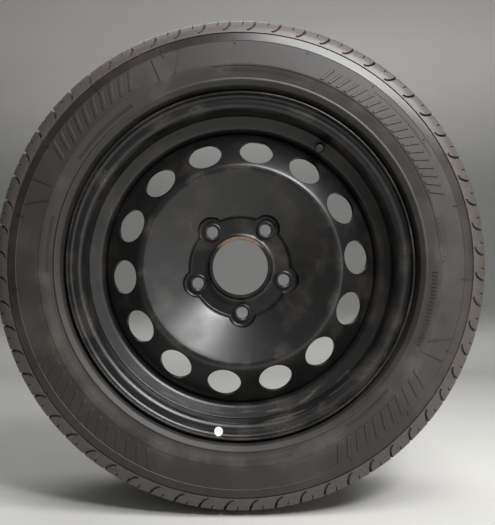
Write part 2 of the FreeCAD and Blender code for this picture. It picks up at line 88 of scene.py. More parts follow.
# Outer side of the tyre, from the bead heel to the tread shoulder. Both sides are alike.
TYRE_SIDE = [
    (202.45, 84.9, 0),
    (206.8, 88.9, 0),
    (217.0, 88.9, 1.5),
    (222.4, 90.4, 2.5),
    (225.0, 104.5, 2.5),
    (231.0, 109.9, 2.2),
    (233.2, 108.9, 1.2),
    (247.8, 113.6, 36),
    (275.8, 113.6, 36),
    (296.8, 107.2, 20),
    (307.9, 99.5, 9),
]
# A matt panel and the mould's parting line round the sidewall: (radius, width, height)
SIDEWALL_RINGS = [
    (263.3, 28.6, -0.5),
    (288.6, 1.7, -1.5),
]
# The bead lies below this radius, or nearer to the middle than the sidewall ever comes
BEAD_TOP = 226.0
SIDEWALL_NEAREST = 100.0
# Radius of the crown and half the width over which it is flat
TYRE_CROWN = (315.7, 30.0)
GROOVES = [-52.0, -17.0, 17.0, 52.0]
GROOVE_TOP = 9.0
GROOVE_FLOOR = 7.0
GROOVE_DEPTH = 7.5
# Tracks of the cuts over a tread shoulder:
# (radius, place along the axis, shift round the tyre, depth)
SLOT_TRACK = [
    (312.3, 60.0, 3.0, 2.5),
    (309.5, 85.0, 8.5, 5.5),
    (308.2, 96.5, 12.0, 5.5),
    (303.5, 102.6, 13.0, 4.0),
    (298.0, 106.2, 14.5, 3.0),
    (294.6, 107.8, 16.8, 2.3),
    (292.5, 108.5, 19.8, 1.7),
    (292.1, 108.7, 22.6, 1.0),
]
SIPE_TRACK = [
    (309.5, 84.0, 8.0, 2.0),
    (308.2, 96.5, 11.5, 3.5),
    (303.5, 102.6, 12.5, 2.2),
    (300.6, 104.6, 13.0, 1.0),
]
CUT_RISE = 6.0  # how far a cutting blade stands above the tread
# Inside of the tyre, from the crown to the bead toe
TYRE_LINER = [
    (301.2, 88.0, 8),
    (275.8, 106.5, 10),
    (247.8, 106.5, 10),
    (216.8, 78.0, 6),
    (201.18, 70.4, 0),
]

# Marks raised on the sidewall. Those between a wide bar and a long rib have bevelled edges.
WIDE_BAR = math.radians(0.9)
LONG_RIB = math.radians(5)
BAR_STEP = 4.0
BAR_TURN_STEP = math.radians(1.5)
BAR_BEVEL = 0.5
BAR_ROOT = 0.4  # how deep a mark is rooted in the sidewall
RIB_SHARE = 0.7  # height of a rib as a share of a bar's

# Tyre side of the rim, one flange from the lip inwards; the other flange is its mirror image
RIM_FLANGE = [
    (219.3, 100.4, 0),
    (220.1, 88.9, 8),
    (202.8, 88.9, 6),
    (201.007, 68.4, 5),
    (202.407, 64.4, 4),
    (200.407, 58.6, 4),
]
RIM_WELL = [
    (182.8, -52.6, 7),
    (182.8, -1.6, 14),
    (198.6, 28.4, 14),
]
WELL_MIDDLE = (182.8, -25.0)
LIP_ROUND = 0.9

# Front of the disc, from the collar's lip to the end of its skirt
DISC_FRONT = [
    (40.3, -63.0, 0),
    (40.3, -51.0, 6.5),
    (64.8, -51.0, 1.6),
    (68.6, -55.6, 4.6),
    (125.5, -79.2, 10),
    (131.5, -79.2, 7),
    (180.3, -45.0, 8),
    (180.3, -18.0, 0),
]
PAD_FRONT = -51.0
PAD_MIDDLE = (56.0, PAD_FRONT)
# The slope from the crest out to the skirt, on which the vents stand
SLOPE_START = DISC_FRONT[5]
SLOPE_END = DISC_FRONT[6]
VENT_REACH = 12.0
# Back of the bowl, up to which the lobes round the bolts go: (radius, place along the axis)
BOWL_BACK = [
    (61.0, -49.0),
    (70.5, -52.8),
    (92.0, -61.8),
]
LOBE_RADIUS = 19.0
LOBE_WALL = 4.0
LOBE_BEND = 2.0
PROUD = 0.05  # keeps two faces from lying in one plane
PAST = 1.0  # how far a cutting form goes past the face that it cuts
# Forms turned about a bolt: (radius, place from the pad's front, bend radius)
FORM_END = -24.0
POCKET = [
    (0.0, -PROUD, 0),
    (LOBE_RADIUS - 2.0, -PROUD, 2.5),
    (LOBE_RADIUS, -4.0, 0),
    (LOBE_RADIUS + 3.0, FORM_END, 0),
    (0.0, FORM_END, 0),
]
BOSS = [
    (0.0, 2.0, 0),
    (12.6, 2.0, 0),
    (12.4, 0.0, 0),
    (11.4, -2.6, 1.5),
    (0.0, -2.6, 0),
]
# Coned seat in front of a bolt hole: (more than the hole's radius, place from the pad's front)
SEAT = [
    (0.0, 2.0),
    (2.2, -2.3),
    (2.7, -3.2),
]
HOLE_FLARE = 1.2
HOLE_FLARE_DEPTH = 0.6
CLOCK = math.radians(56.3)  # clock angle of the valve, and of one bolt and one vent

# The valve stands on the rim's outboard wall, so far up from the wall's foot
VALVE_RISE = 8.3
WALL_FOOT = RIM_WELL[0]
WALL_TOP = RIM_FLANGE[-1]
WALL_RUN = WALL_TOP[1] + WALL_FOOT[1]
WALL_FALL = WALL_TOP[0] - WALL_FOOT[0]
VALVE_SHARE = VALVE_RISE / math.hypot(WALL_RUN, WALL_FALL)
VALVE_RADIUS = WALL_FOOT[0] + WALL_FALL * VALVE_SHARE
VALVE_PLACE = WALL_FOOT[1] - WALL_RUN * VALVE_SHARE
VALVE_LEAN = math.atan(WALL_RUN / WALL_FALL)
VALVE_HOLE = 5.65
VALVE_HOLE_REACH = 8.0

# The valve's rubber body: (radius about the stem, height along the stem, bend radius)
VALVE_BODY = [
    (3.85, -6.0, 0),
    (6.2, -6.0, 1.0),
    (7.6, -4.6, 1.0),
    (7.6, -1.4, 0.6),
    (6.2, 0.0, 0),
    (VALVE_HOLE, 0.0, 0),
    (VALVE_HOLE, 2.5, 0),
    (6.8, 2.5, 0.5),
    (6.8, 7.5, 2.0),
    (5.3, 12.0, 4.0),
    (5.3, 21.5, 0.8),
    (3.85, 21.5, 0),
]
# The dust cap: the radius of its bore, and the heights of its mouth, of the bore's end and of its top
CAP_BORE = 4.0
CAP_MOUTH = 22.5
CAP_BORE_END = 31.8
CAP_TOP = 33.2
CAP_CHAMFER = 0.3
CAP_SHOULDER = 0.8
FLUTE_EDGE = 0.9

# Finishes of the small pieces: (colour, roughness, metallic, size of the specks in millimetres)
SMALL_FINISHES = {
    # Compression-moulded rubber: dull black, greyed by dust
    "Moulded valve rubber": ("valve_rubber", 0.6, 0.0, 0.8),
    # Injection-moulded plastic: black with a soft sheen along the flutes
    "Moulded cap plastic": ("cap", 0.4, 0.0, 0.6),
    # Turned and handled brass: yellow metal, glossy with dull specks
    "Turned brass": ("brass", 0.25, 1.0, 0.4),
    # Drawn and coiled wire: bright grey metal
    "Bright spring wire": ("wire", 0.25, 1.0, 0.2),
}


def hex_colour(code):
    """Linear colour of an sRGB hex value."""
    parts = [int(code[index:index + 2], 16) / 255 for index in (1, 3, 5)]
    return [part / 12.92 if part <= 0.04045 else ((part + 0.055) / 1.055) ** 2.4 for part in parts]


def length_size(name, description, default):
    return bpy.props.FloatProperty(
        name=name, description=description, default=default * MM, unit="LENGTH", precision=5
    )


def count_size(name, description, default):
    return bpy.props.IntProperty(name=name, description=description, default=default, min=1)


def colour_choice(name, description, code):
    return bpy.props.FloatVectorProperty(
        name=name, description=description, default=hex_colour(code), subtype="COLOR", min=0.0, max=1.0
    )


class TyreSizes(bpy.types.PropertyGroup):
    slot_count: count_size("Slots", "Curved slots across each tread shoulder", 60)
    slot_width: length_size("Slot width", "Width of a shoulder slot", 3.3)
    sipe_width: length_size("Sipe width", "Width of the thin cut between two slots", 1.4)
    relief_height: length_size("Relief height", "How far the raised marks stand off the sidewall", 0.9)


class WheelSizes(bpy.types.PropertyGroup):
    rim_gauge: length_size("Rim gauge", "Thickness of the rim's sheet", 2.5)
    disc_gauge: length_size("Disc gauge", "Thickness of the disc's sheet", 4.0)
    vent_count: count_size("Vents", "Round holes in the disc", 14)
    vent_diameter: length_size("Vent diameter", "Diameter of a vent hole", 44.0)
    vent_circle: length_size("Vent circle radius", "Radius of the ring of vents", 153.0)
    bolt_count: count_size("Bolts", "Bolt holes round the centre", 5)
    bolt_circle: length_size("Bolt circle", "Diameter of the ring of bolts", 120.0)
    bolt_hole: length_size("Bolt hole", "Diameter of a bolt hole", 15.0)


class ValveSizes(bpy.types.PropertyGroup):
    cap_diameter: length_size("Cap diameter", "Outside diameter of the dust cap", 9.8)
    flute_count: count_size("Cap flutes", "Grip flutes round the dust cap", 20)
    flute_depth: length_size("Flute depth", "Depth of a grip flute", 0.4)


class Finishes(bpy.types.PropertyGroup):
    rubber: colour_choice("Tyre rubber", "Colour of the clean rubber", "#211f1e")
    tread: colour_choice("Tread", "Colour of the scrubbed tread", "#514b48")
    road_dust: colour_choice("Road dust", "Colour of dried road dirt", "#6d6259")
    enamel: colour_choice("Enamel", "Colour of the wheel's paint", "#121212")
    # Rust colour, painted only on the top of the hub collar, where it is also a painted highlight
    rust: colour_choice("Rust", "Colour of the bare rusty metal", "#64503d")
    film: colour_choice("Dot", "Colour of the adhesive dot", "#e9e9e4")
    valve_rubber: colour_choice("Valve rubber", "Colour of the valve's rubber", "#1c1c1c")
    brass: colour_choice("Brass", "Colour of the valve's brass", "#c9a65a")
    wire: colour_choice("Spring wire", "Colour of the valve's spring", "#b9bbbd")
    cap: colour_choice("Cap", "Colour of the dust cap's plastic", "#171717")
    floor: colour_choice("Floor", "Colour of the studio floor", "#cac9c5")
    # The backdrop's grey is painted shade behind the wheel, and its paler top colour is painted light
    backdrop: colour_choice("Backdrop", "Colour of the studio backdrop behind the wheel", "#878786")
    backdrop_painted_light_top: colour_choice("Backdrop top", "Colour of the studio backdrop higher up", "#d6d3d1")


class StageSizes(bpy.types.PropertyGroup):
    camera_place: bpy.props.FloatVectorProperty(
        name="Camera place", description="Where the camera stands", default=(0.0, -0.89, -0.04),
        subtype="TRANSLATION", unit="LENGTH",
    )
    lens: bpy.props.FloatProperty(name="Lens", description="Focal length of the camera", default=43.2)
    shift: bpy.props.FloatVectorProperty(
        name="Camera shift", description="Shift of the picture, as a share of its longer side",
        default=(0.0137, 0.067), size=2,
    )
    backdrop_place: length_size("Backdrop distance", "From the wheel's middle to the backdrop", 1900.0)


def deselect():
    if bpy.context.object and bpy.context.object.mode != "OBJECT":
        bpy.ops.object.mode_set(mode="OBJECT")
    bpy.ops.object.select_all(action="DESELECT")


def activate(piece):
    deselect()
    piece.select_set(True)
    bpy.context.view_layer.objects.active = piece


def edit(piece):
    activate(piece)
    bpy.ops.object.mode_set(mode="EDIT")
    bpy.ops.mesh.select_all(action="SELECT")


def finish_edit():
    bpy.ops.object.mode_set(mode="OBJECT")


def rounded(corners):
    """Points of a line whose corners are rounded by their bend radius."""
    points = []
    for index, (radius, place, bend) in enumerate(corners):
        corner = Vector((radius, place))
        if not bend or index in (0, len(corners) - 1):
            points.append(corner)
            continue
        back = (Vector(corners[index - 1][:2]) - corner).normalized()
        on = (Vector(corners[index + 1][:2]) - corner).normalized()
        turn = math.pi - back.angle(on)
        middle = corner + (back + on).normalized() * (bend / math.cos(turn / 2))
        start = corner + back * (bend * math.tan(turn / 2)) - middle
        swing = 1 if start.x * (on.y - back.y) - start.y * (on.x - back.x) > 0 else -1
        count = max(2, math.ceil(turn / ARC_STEP))
        for step in range(count + 1):
            points.append(middle + Matrix.Rotation(swing * turn * step / count, 2) @ start)
    return points


def divided(points, longest=5.0):
    """The same line with its long runs split, so that cuts in it stay small."""
    line = [points[0]]
    for start, end in zip(points, points[1:]):
        count = max(1, math.ceil((end - start).length / longest))
        line += [start.lerp(end, step / count) for step in range(1, count + 1)]
    return line


def draw_line(name, points):
    """A new object in edit mode: one line of edges through points in metres."""
    deselect()
    bpy.ops.mesh.primitive_plane_add(size=MM)
    piece = bpy.context.object
    piece.name = name
    piece.data.name = name
    bpy.ops.object.mode_set(mode="EDIT")
    bpy.ops.mesh.select_all(action="SELECT")
    bpy.ops.mesh.merge(type="CENTER")
    bpy.ops.transform.translate(value=points[0])
    for start, end in zip(points, points[1:]):
        bpy.ops.mesh.extrude_region_move(TRANSFORM_OT_translate={"value": end - start})
    bpy.ops.mesh.select_all(action="SELECT")
    return piece


def clean_up():
    """Close the seams of the mesh in edit mode and turn its faces outwards."""
    bpy.ops.mesh.select_all(action="SELECT")
    bpy.ops.mesh.remove_doubles(threshold=SEAM * MM)
    bpy.ops.mesh.normals_make_consistent(inside=False)


def lathe(name, section, closed=True, steps=TURN_STEPS):
    """A piece turned about the spin axis from a section in millimetres."""
    outline = list(section) + list(section[:1]) if closed else section
    piece = draw_line(name, [Vector((point[0] * MM, point[1] * MM, 0)) for point in outline])
    bpy.ops.mesh.spin(steps=steps, angle=math.tau, center=(0, 0, 0), axis=SPIN_AXIS)
    clean_up()
    finish_edit()
    return piece


def plug(radius, reach):
    """Section of a round cutter that reaches as far to both sides."""
    return [(0, -reach), (radius, -reach), (radius, reach), (0, reach)]


def face_towards(piece, place, direction):
    """Turn an open sheet's faces so that the one nearest to a place looks along a direction."""
    edit(piece)
    faces = bmesh.from_edit_mesh(piece.data).faces
    nearest = min(faces, key=lambda face: (face.calc_center_median() - place).length)
    if nearest.normal.dot(direction) < 0:
        bpy.ops.mesh.flip_normals()
    finish_edit()


def modify(piece, kind, **settings):
    """Add a modifier with its settings and apply it."""
    activate(piece)
    bpy.ops.object.modifier_add(type=kind)
    modifier = piece.modifiers[-1]
    for name, value in settings.items():
        setattr(modifier, name, value)
    bpy.ops.object.modifier_apply(modifier=modifier.name)


def combine(piece, tool, operation):
    """Cut a piece with a tool, or add the tool to it, and throw the tool away."""
    faces = len(piece.data.polygons)
    modify(piece, "BOOLEAN", operation=operation, object=tool, solver="EXACT")
    bpy.data.objects.remove(tool)
    if operation != "INTERSECT" and len(piece.data.polygons) < faces / 2:
        raise RuntimeError(f"{piece.name} was lost in a cut")


def repeat(piece, count, spacing):
    """Copies of a piece round the spin axis, one for each step of clock angle."""
    if count > 1:
        edit(piece)
        bpy.ops.mesh.spin(
            steps=count - 1, angle=spacing * (count - 1), dupli=True, center=(0, 0, 0), axis=SPIN_AXIS
        )
        finish_edit()


def put(piece, place):
    """Move a piece by a matrix, and keep the move in its mesh."""
    activate(piece)
    piece.matrix_world = place
    bpy.ops.object.transform_apply(location=True, rotation=True, scale=True)


def clock_turn(angle):
    return Matrix.Rotation(-angle, 4, "Y")


def join(name, pieces):
    deselect()
    for piece in pieces:
        piece.select_set(True)
    bpy.context.view_layer.objects.active = pieces[0]
    bpy.ops.object.join()
    pieces[0].name = name
    pieces[0].data.name = name
    return pieces[0]


def complete(piece, body, finish, nodes=(), sharp=40):
    """Shade a finished piece, give it its finish and tie it to the frame."""
    activate(piece)
    bpy.ops.object.shade_smooth_by_angle(angle=math.radians(sharp))
    piece.data.materials.clear()
    piece.data.materials.append(finish_named(finish))
    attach(piece, body)
    if nodes:
        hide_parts(*nodes)


def add(tree, kind, inputs=None, output=0, **settings):
    """Add a shader node with its settings, its inputs as values or links, and give one of its outputs."""
    node = tree.nodes.new("ShaderNode" + kind)
    for name, value in settings.items():
        setattr(node, name, value)
    for name, value in (inputs or {}).items():
        if isinstance(value, bpy.types.NodeSocket):
            tree.links.new(value, node.inputs[name])
        else:
            node.inputs[name].default_value = value
    return node.outputs[output]


def new_material(name):
    """A material of that name with its node tree, its shader and the Object coordinates."""
    material = bpy.data.materials.new(name)
    material.use_nodes = True
    tree = material.node_tree
    return material, tree, tree.nodes["Principled BSDF"], add(tree, "TexCoord", output="Object")


def drive(tree, shader, links):
    """Link sockets to a shader's inputs by name."""
    for name, socket in links.items():
        tree.links.new(socket, shader.inputs[name])


def opaque(colour):
    return (*colour, 1.0)


def pattern_scale(size):
    """Scale of a pattern whose marks are about that many millimetres across."""
    return 1 / (size * MM)


def across_axis(tree, place):
    """A point's place square to the spin axis, and its distance from that axis."""
    flat = add(tree, "VectorMath", {0: place, 1: (1.0, 0.0, 1.0)}, operation="MULTIPLY")
    return flat, add(tree, "VectorMath", {0: flat}, "Value", operation="LENGTH")


def tyre_rubber(name, colours):
    # Vulcanised tyre rubber, moulded: charcoal with a satin gloss, fine turning marks of the mould round
    # the sidewall, thin brown road dust in clouds, and a scrubbed, greyer tread.
    material, tree, shader, place = new_material(name)
    _, reach = across_axis(tree, place)
    cloud = add(tree, "TexNoise", {"Vector": place, "Scale": pattern_scale(70.0), "Detail": 5.0})
    speckle = add(tree, "TexNoise", {"Vector": place, "Scale": pattern_scale(2.5), "Detail": 3.0})
    cloudy = add(tree, "MapRange", {"Value": cloud, 1: 0.4, 2: 0.72, 3: 0.02, 4: 0.2}, **EASED)
    splashed = add(tree, "MapRange", {"Value": cloud, 1: 0.45, 2: 0.65, 3: 0.0, 4: 0.24}, **EASED)
    beside = add(tree, "Math", {0: reach, 1: 246.0 * MM}, operation="SUBTRACT")
    off_ring = add(tree, "Math", {0: beside}, operation="ABSOLUTE")
    on_ring = add(
        tree, "MapRange", {"Value": off_ring, 1: 3.0 * MM, 2: 14.0 * MM, 3: 1.0, 4: 0.0}, **EASED
    )
    flecked = add(tree, "MapRange", {"Value": speckle, 1: 0.3, 2: 0.7, 3: 0.55, 4: 1.0}, **EASED)
    smeared = add(tree, "Math", {0: splashed, 1: on_ring, 2: cloudy}, operation="MULTIPLY_ADD")
    dusty = add(tree, "Math", {0: smeared, 1: flecked}, operation="MULTIPLY")
    soiled = add(
        tree, "Mix", {FACTOR: dusty, FIRST: opaque(colours.rubber), SECOND: opaque(colours.road_dust)},
        MIXED, data_type="RGBA",
    )
    scrubbed = add(tree, "MapRange", {"Value": reach, 1: 288.0 * MM, 2: 290.0 * MM}, **EASED)
    worn = add(tree, "Math", {0: scrubbed, 1: flecked}, operation="MULTIPLY")
    colour = add(
        tree, "Mix", {FACTOR: worn, FIRST: soiled, SECOND: opaque(colours.tread)},
        MIXED, data_type="RGBA",
    )
    dull = add(tree, "Math", {0: dusty, 1: scrubbed}, operation="MAXIMUM")
    satin = add(
        tree, "MapRange", {"Value": reach, 1: 277.2 * MM, 2: 278.4 * MM, 3: 0.55, 4: 0.29}, **EASED
    )
    roughness = add(tree, "Math", {0: dull, 1: 0.16, 2: satin}, operation="MULTIPLY_ADD")
    ring_pitch = 1.6 * MM
    wave = add(tree, "Math", {0: reach, 1: math.tau / ring_pitch}, operation="MULTIPLY")
    ripple = add(tree, "Math", {0: wave}, operation="SINE")
    height = add(tree, "Math", {0: ripple, 1: 0.08, 2: speckle}, operation="MULTIPLY_ADD")
    bump = add(tree, "Bump", {"Height": height, "Strength": 0.14, "Distance": 0.4 * MM})
    drive(tree, shader, {"Base Color": colour, "Roughness": roughness, "Normal": bump})
    shader.inputs["IOR"].default_value = 1.52
    return material


def wheel_enamel(name, colours):
    # Black stoving enamel on pressed steel: half-glossy with a slight orange peel, a brown haze of road
    # dust, dirt streaks low in the barrel, hair scratches, a scuffed crest, and bare rusty metal on the
    # hub collar, painted only on its top, where it is partly rust and partly a painted highlight of the lit
    # top.
    material, tree, shader, place = new_material(name)
    flat, reach = across_axis(tree, place)
    cloud = add(tree, "TexNoise", {"Vector": place, "Scale": pattern_scale(38.0), "Detail": 5.0})
    fleck = add(tree, "TexNoise", {"Vector": place, "Scale": pattern_scale(1.8), "Detail": 4.0})
    depth = add(tree, "SeparateXYZ", {0: place}, "Y")
    rise = add(tree, "SeparateXYZ", {0: place}, "Z")

    hazy = add(tree, "MapRange", {"Value": cloud, 1: 0.45, 2: 0.75, 3: 0.01, 4: 0.13}, **EASED)
    gritty = add(tree, "MapRange", {"Value": fleck, 1: 0.35, 2: 0.65, 3: 0.5, 4: 1.0}, **EASED)
    haze = add(tree, "Math", {0: hazy, 1: gritty}, operation="MULTIPLY")
    dusty = add(
        tree, "Mix", {FACTOR: haze, FIRST: opaque(colours.enamel), SECOND: opaque(colours.road_dust)},
        MIXED, data_type="RGBA",
    )

    drawn_out = add(tree, "Mapping", {"Vector": place, "Rotation": (0, 0.6, 0), "Scale": (1, 1, 0.12)})
    hair = add(tree, "TexNoise", {"Vector": drawn_out, "Scale": pattern_scale(9.0), "Detail": 1.0})
    off_line = add(tree, "Math", {0: hair, 1: 0.5}, operation="SUBTRACT")
    apart = add(tree, "Math", {0: off_line}, operation="ABSOLUTE")
    line = add(tree, "MapRange", {"Value": apart, 1: 0.004, 2: 0.001, 3: 0.0, 4: 0.3}, **EASED)
    patch = add(tree, "MapRange", {"Value": cloud, 1: 0.56, 2: 0.62}, **EASED)
    scratch = add(tree, "Math", {0: line, 1: patch}, operation="MULTIPLY")
    scratched = add(
        tree, "Mix", {FACTOR: scratch, FIRST: dusty, SECOND: opaque(colours.road_dust)},
        MIXED, data_type="RGBA",
    )

    at_crest = add(tree, "MapRange", {"Value": depth, 1: -76.8 * MM, 2: -78.8 * MM}, **EASED)
    rubbed = add(tree, "MapRange", {"Value": fleck, 1: 0.42, 2: 0.62, 3: 0.0, 4: 0.14}, **EASED)
    worn_patch = add(tree, "MapRange", {"Value": cloud, 1: 0.46, 2: 0.58}, **EASED)
    crest = add(tree, "Math", {0: at_crest, 1: rubbed}, operation="MULTIPLY")
    scuff = add(tree, "Math", {0: crest, 1: worn_patch}, operation="MULTIPLY")

    # Dirt in the barrel lies in streaks of some 4 by 40 mm that run round the wheel
    around = add(tree, "VectorMath", {0: flat}, operation="NORMALIZE")
    slow = add(tree, "VectorMath", {0: around, "Scale": 19.0 * MM}, operation="SCALE")
    level = add(tree, "Math", {0: reach, 1: depth}, operation="ADD")
    ring_place = add(tree, "CombineXYZ", {"Y": level})
    wound = add(tree, "VectorMath", {0: slow, 1: ring_place}, operation="ADD")
    band = add(tree, "TexNoise", {"Vector": wound, "Scale": pattern_scale(4.0), "Detail": 4.0})
    streaky = add(tree, "MapRange", {"Value": band, 1: 0.55, 2: 0.75, 3: 0.0, 4: 0.26}, **EASED)
    in_barrel = add(tree, "MapRange", {"Value": reach, 1: 179.0 * MM, 2: 184.0 * MM}, **EASED)
    settled = add(
        tree, "MapRange", {"Value": rise, 1: -60.0 * MM, 2: -150.0 * MM, 3: 0.1, 4: 1.0}, **EASED
    )
    low_down = add(tree, "Math", {0: in_barrel, 1: settled}, operation="MULTIPLY")
    streak = add(tree, "Math", {0: streaky, 1: low_down}, operation="MULTIPLY")
    grime = add(tree, "Math", {0: streak, 1: scuff}, operation="MAXIMUM")
    grimy = add(
        tree, "Mix", {FACTOR: grime, FIRST: scratched, SECOND: opaque(colours.road_dust)},
        MIXED, data_type="RGBA",
    )

    # Rust on the hub collar, painted only on its top: partly real rust, partly a painted highlight where
    # light falls on the collar's upper side
    at_collar = add(tree, "MapRange", {"Value": reach, 1: 45.0 * MM, 2: 42.5 * MM}, **EASED)
    at_front = add(tree, "MapRange", {"Value": depth, 1: -60.0 * MM, 2: -61.5 * MM}, **EASED)
    painted_lit_top = add(tree, "MapRange", {"Value": rise, 1: 23.5 * MM, 2: 32.0 * MM}, **EASED)
    flaked = add(tree, "MapRange", {"Value": fleck, 1: 0.34, 2: 0.46, 3: 0.15, 4: 1.0}, **EASED)
    rust_and_painted_light = flaked
    for place_share in (at_collar, at_front, painted_lit_top):
        rust_and_painted_light = add(tree, "Math", {0: rust_and_painted_light, 1: place_share}, operation="MULTIPLY")
    colour = add(
        tree, "Mix", {FACTOR: rust_and_painted_light, FIRST: grimy, SECOND: opaque(colours.rust)},
        MIXED, data_type="RGBA",
    )

    soiled = add(tree, "Math", {0: haze, 1: grime}, operation="MAXIMUM")
    dull = add(tree, "Math", {0: soiled, 1: rust_and_painted_light}, operation="MAXIMUM")
    roughness = add(tree, "MapRange", {"Value": dull, 1: 0.0, 2: 0.3, 3: 0.3, 4: 0.55})
    peel = add(tree, "TexNoise", {"Vector": place, "Scale": pattern_scale(3.5), "Detail": 2.0})
    bump = add(tree, "Bump", {"Height": peel, "Strength": 0.05, "Distance": 0.2 * MM})
    drive(tree, shader, {"Base Color": colour, "Roughness": roughness, "Normal": bump})
    shader.inputs["IOR"].default_value = 1.5
    return material


def dot_film(name, colours):
    # Matt white adhesive film, die cut: even and chalky, a little soiled in specks.
    material, tree, shader, place = new_material(name)
    speck = add(tree, "TexNoise", {"Vector": place, "Scale": pattern_scale(2.0), "Detail": 3.0})
    soil = add(tree, "MapRange", {"Value": speck, 1: 0.55, 2: 0.75, 3: 0.0, 4: 0.3}, **EASED)
    colour = add(
        tree, "Mix", {FACTOR: soil, FIRST: opaque(colours.film), SECOND: opaque(colours.road_dust)},
        MIXED, data_type="RGBA",
    )
    roughness = add(tree, "MapRange", {"Value": soil, 1: 0.0, 2: 0.3, 3: 0.5, 4: 0.7})
    drive(tree, shader, {"Base Color": colour, "Roughness": roughness})
    return material


def small_part(name, colours):
    # A small piece's own material: an even colour, dulled by dust in fine specks.
    colour, gloss, metal, grit = SMALL_FINISHES[name]
    material, tree, shader, place = new_material(name)
    speck = add(tree, "TexNoise", {"Vector": place, "Scale": pattern_scale(grit), "Detail": 3.0})
    soil = add(tree, "MapRange", {"Value": speck, 1: 0.5, 2: 0.75, 3: 0.0, 4: 0.25}, **EASED)
    clean = opaque(getattr(colours, colour))
    tint = add(
        tree, "Mix", {FACTOR: soil, FIRST: clean, SECOND: opaque(colours.road_dust)},
        MIXED, data_type="RGBA",
    )
    roughness = add(tree, "MapRange", {"Value": speck, 1: 0.3, 2: 0.7, 3: gloss, 4: gloss + 0.18})
    bump = add(tree, "Bump", {"Height": speck, "Strength": 0.08, "Distance": 0.05 * MM})
    drive(tree, shader, {"Base Color": tint, "Roughness": roughness, "Normal": bump})
    shader.inputs["Metallic"].default_value = metal
    return material


def sweep_paint(colours, painted_shade_heights, painted_light_heights):
    # Matt studio paint on a paper sweep: pale on the floor, then grey behind the wheel as painted shade,
    # and paler above it as painted light.
    material, tree, shader, place = new_material("Sweep paint with painted shade and light")
    rise = add(tree, "SeparateXYZ", {0: place}, "Z")
    mottle = add(tree, "TexNoise", {"Vector": place, "Scale": pattern_scale(120.0), "Detail": 2.0})
    uneven = add(tree, "Math", {0: mottle, 1: 0.06, 2: rise}, operation="MULTIPLY_ADD")
    # The grey band is painted shade of the wall behind the wheel, and the pale top is painted light that
    # makes up for the light falling off higher up
    painted_shade = add(tree, "MapRange", {"Value": uneven, 1: painted_shade_heights[0], 2: painted_shade_heights[1]}, **EASED)
    painted_light = add(tree, "MapRange", {"Value": uneven, 1: painted_light_heights[0], 2: painted_light_heights[1]}, **EASED)
    floor_and_painted_shade = add(
        tree, "Mix", {FACTOR: painted_shade, FIRST: opaque(colours.floor), SECOND: opaque(colours.backdrop)},
        MIXED, data_type="RGBA",
    )
    colour = add(
        tree, "Mix", {FACTOR: painted_light, FIRST: floor_and_painted_shade, SECOND: opaque(colours.backdrop_painted_light_top)},
        MIXED, data_type="RGBA",
    )
    drive(tree, shader, {"Base Color": colour})
    shader.inputs["Roughness"].default_value = 0.85
    return material


MAKERS = {
    "Vulcanised tyre rubber": tyre_rubber,
    "Black stoving enamel": wheel_enamel,
    "Matt white adhesive film": dot_film,
    **dict.fromkeys(SMALL_FINISHES, small_part),
}


def finish_named(name):
    """The finish of that name, made the first time it is asked for."""
    colours = bpy.context.scene.wheel_finishes
    return bpy.data.materials.get(name) or MAKERS[name](name, colours)


def sidewall_line():
    """Points of the tyre's outer side with its rings, as (radius, distance from the middle)."""
    points = rounded(TYRE_SIDE + [(*TYRE_CROWN, 0)])[:-1]
    for radius, width, height in SIDEWALL_RINGS:
        low = radius - width / 2
        high = radius + width / 2
        bevel = min(abs(height), width / 3)
        added = [
            Vector((low, sidewall_at(points, low))),
            Vector((low + bevel, sidewall_at(points, low + bevel) + height)),
            Vector((high - bevel, sidewall_at(points, high - bevel) + height)),
            Vector((high, sidewall_at(points, high))),
        ]
        before = [
            point for point in points
            if point.x < low or point.y < SIDEWALL_NEAREST and point.x < BEAD_TOP
        ]
        after = [point for point in points if point not in before and point.x > high]
        points = before + added + after
    return points


def sidewall_at(points, radius):
    """Distance of the sidewall from the middle, at a radius."""
    for start, end in zip(points, points[1:]):
        if start.x <= radius <= end.x and start.y > SIDEWALL_NEAREST:
            return start.y + (end.y - start.y) * (radius - start.x) / (end.x - start.x)
    raise RuntimeError(f"the sidewall has no radius {radius}")


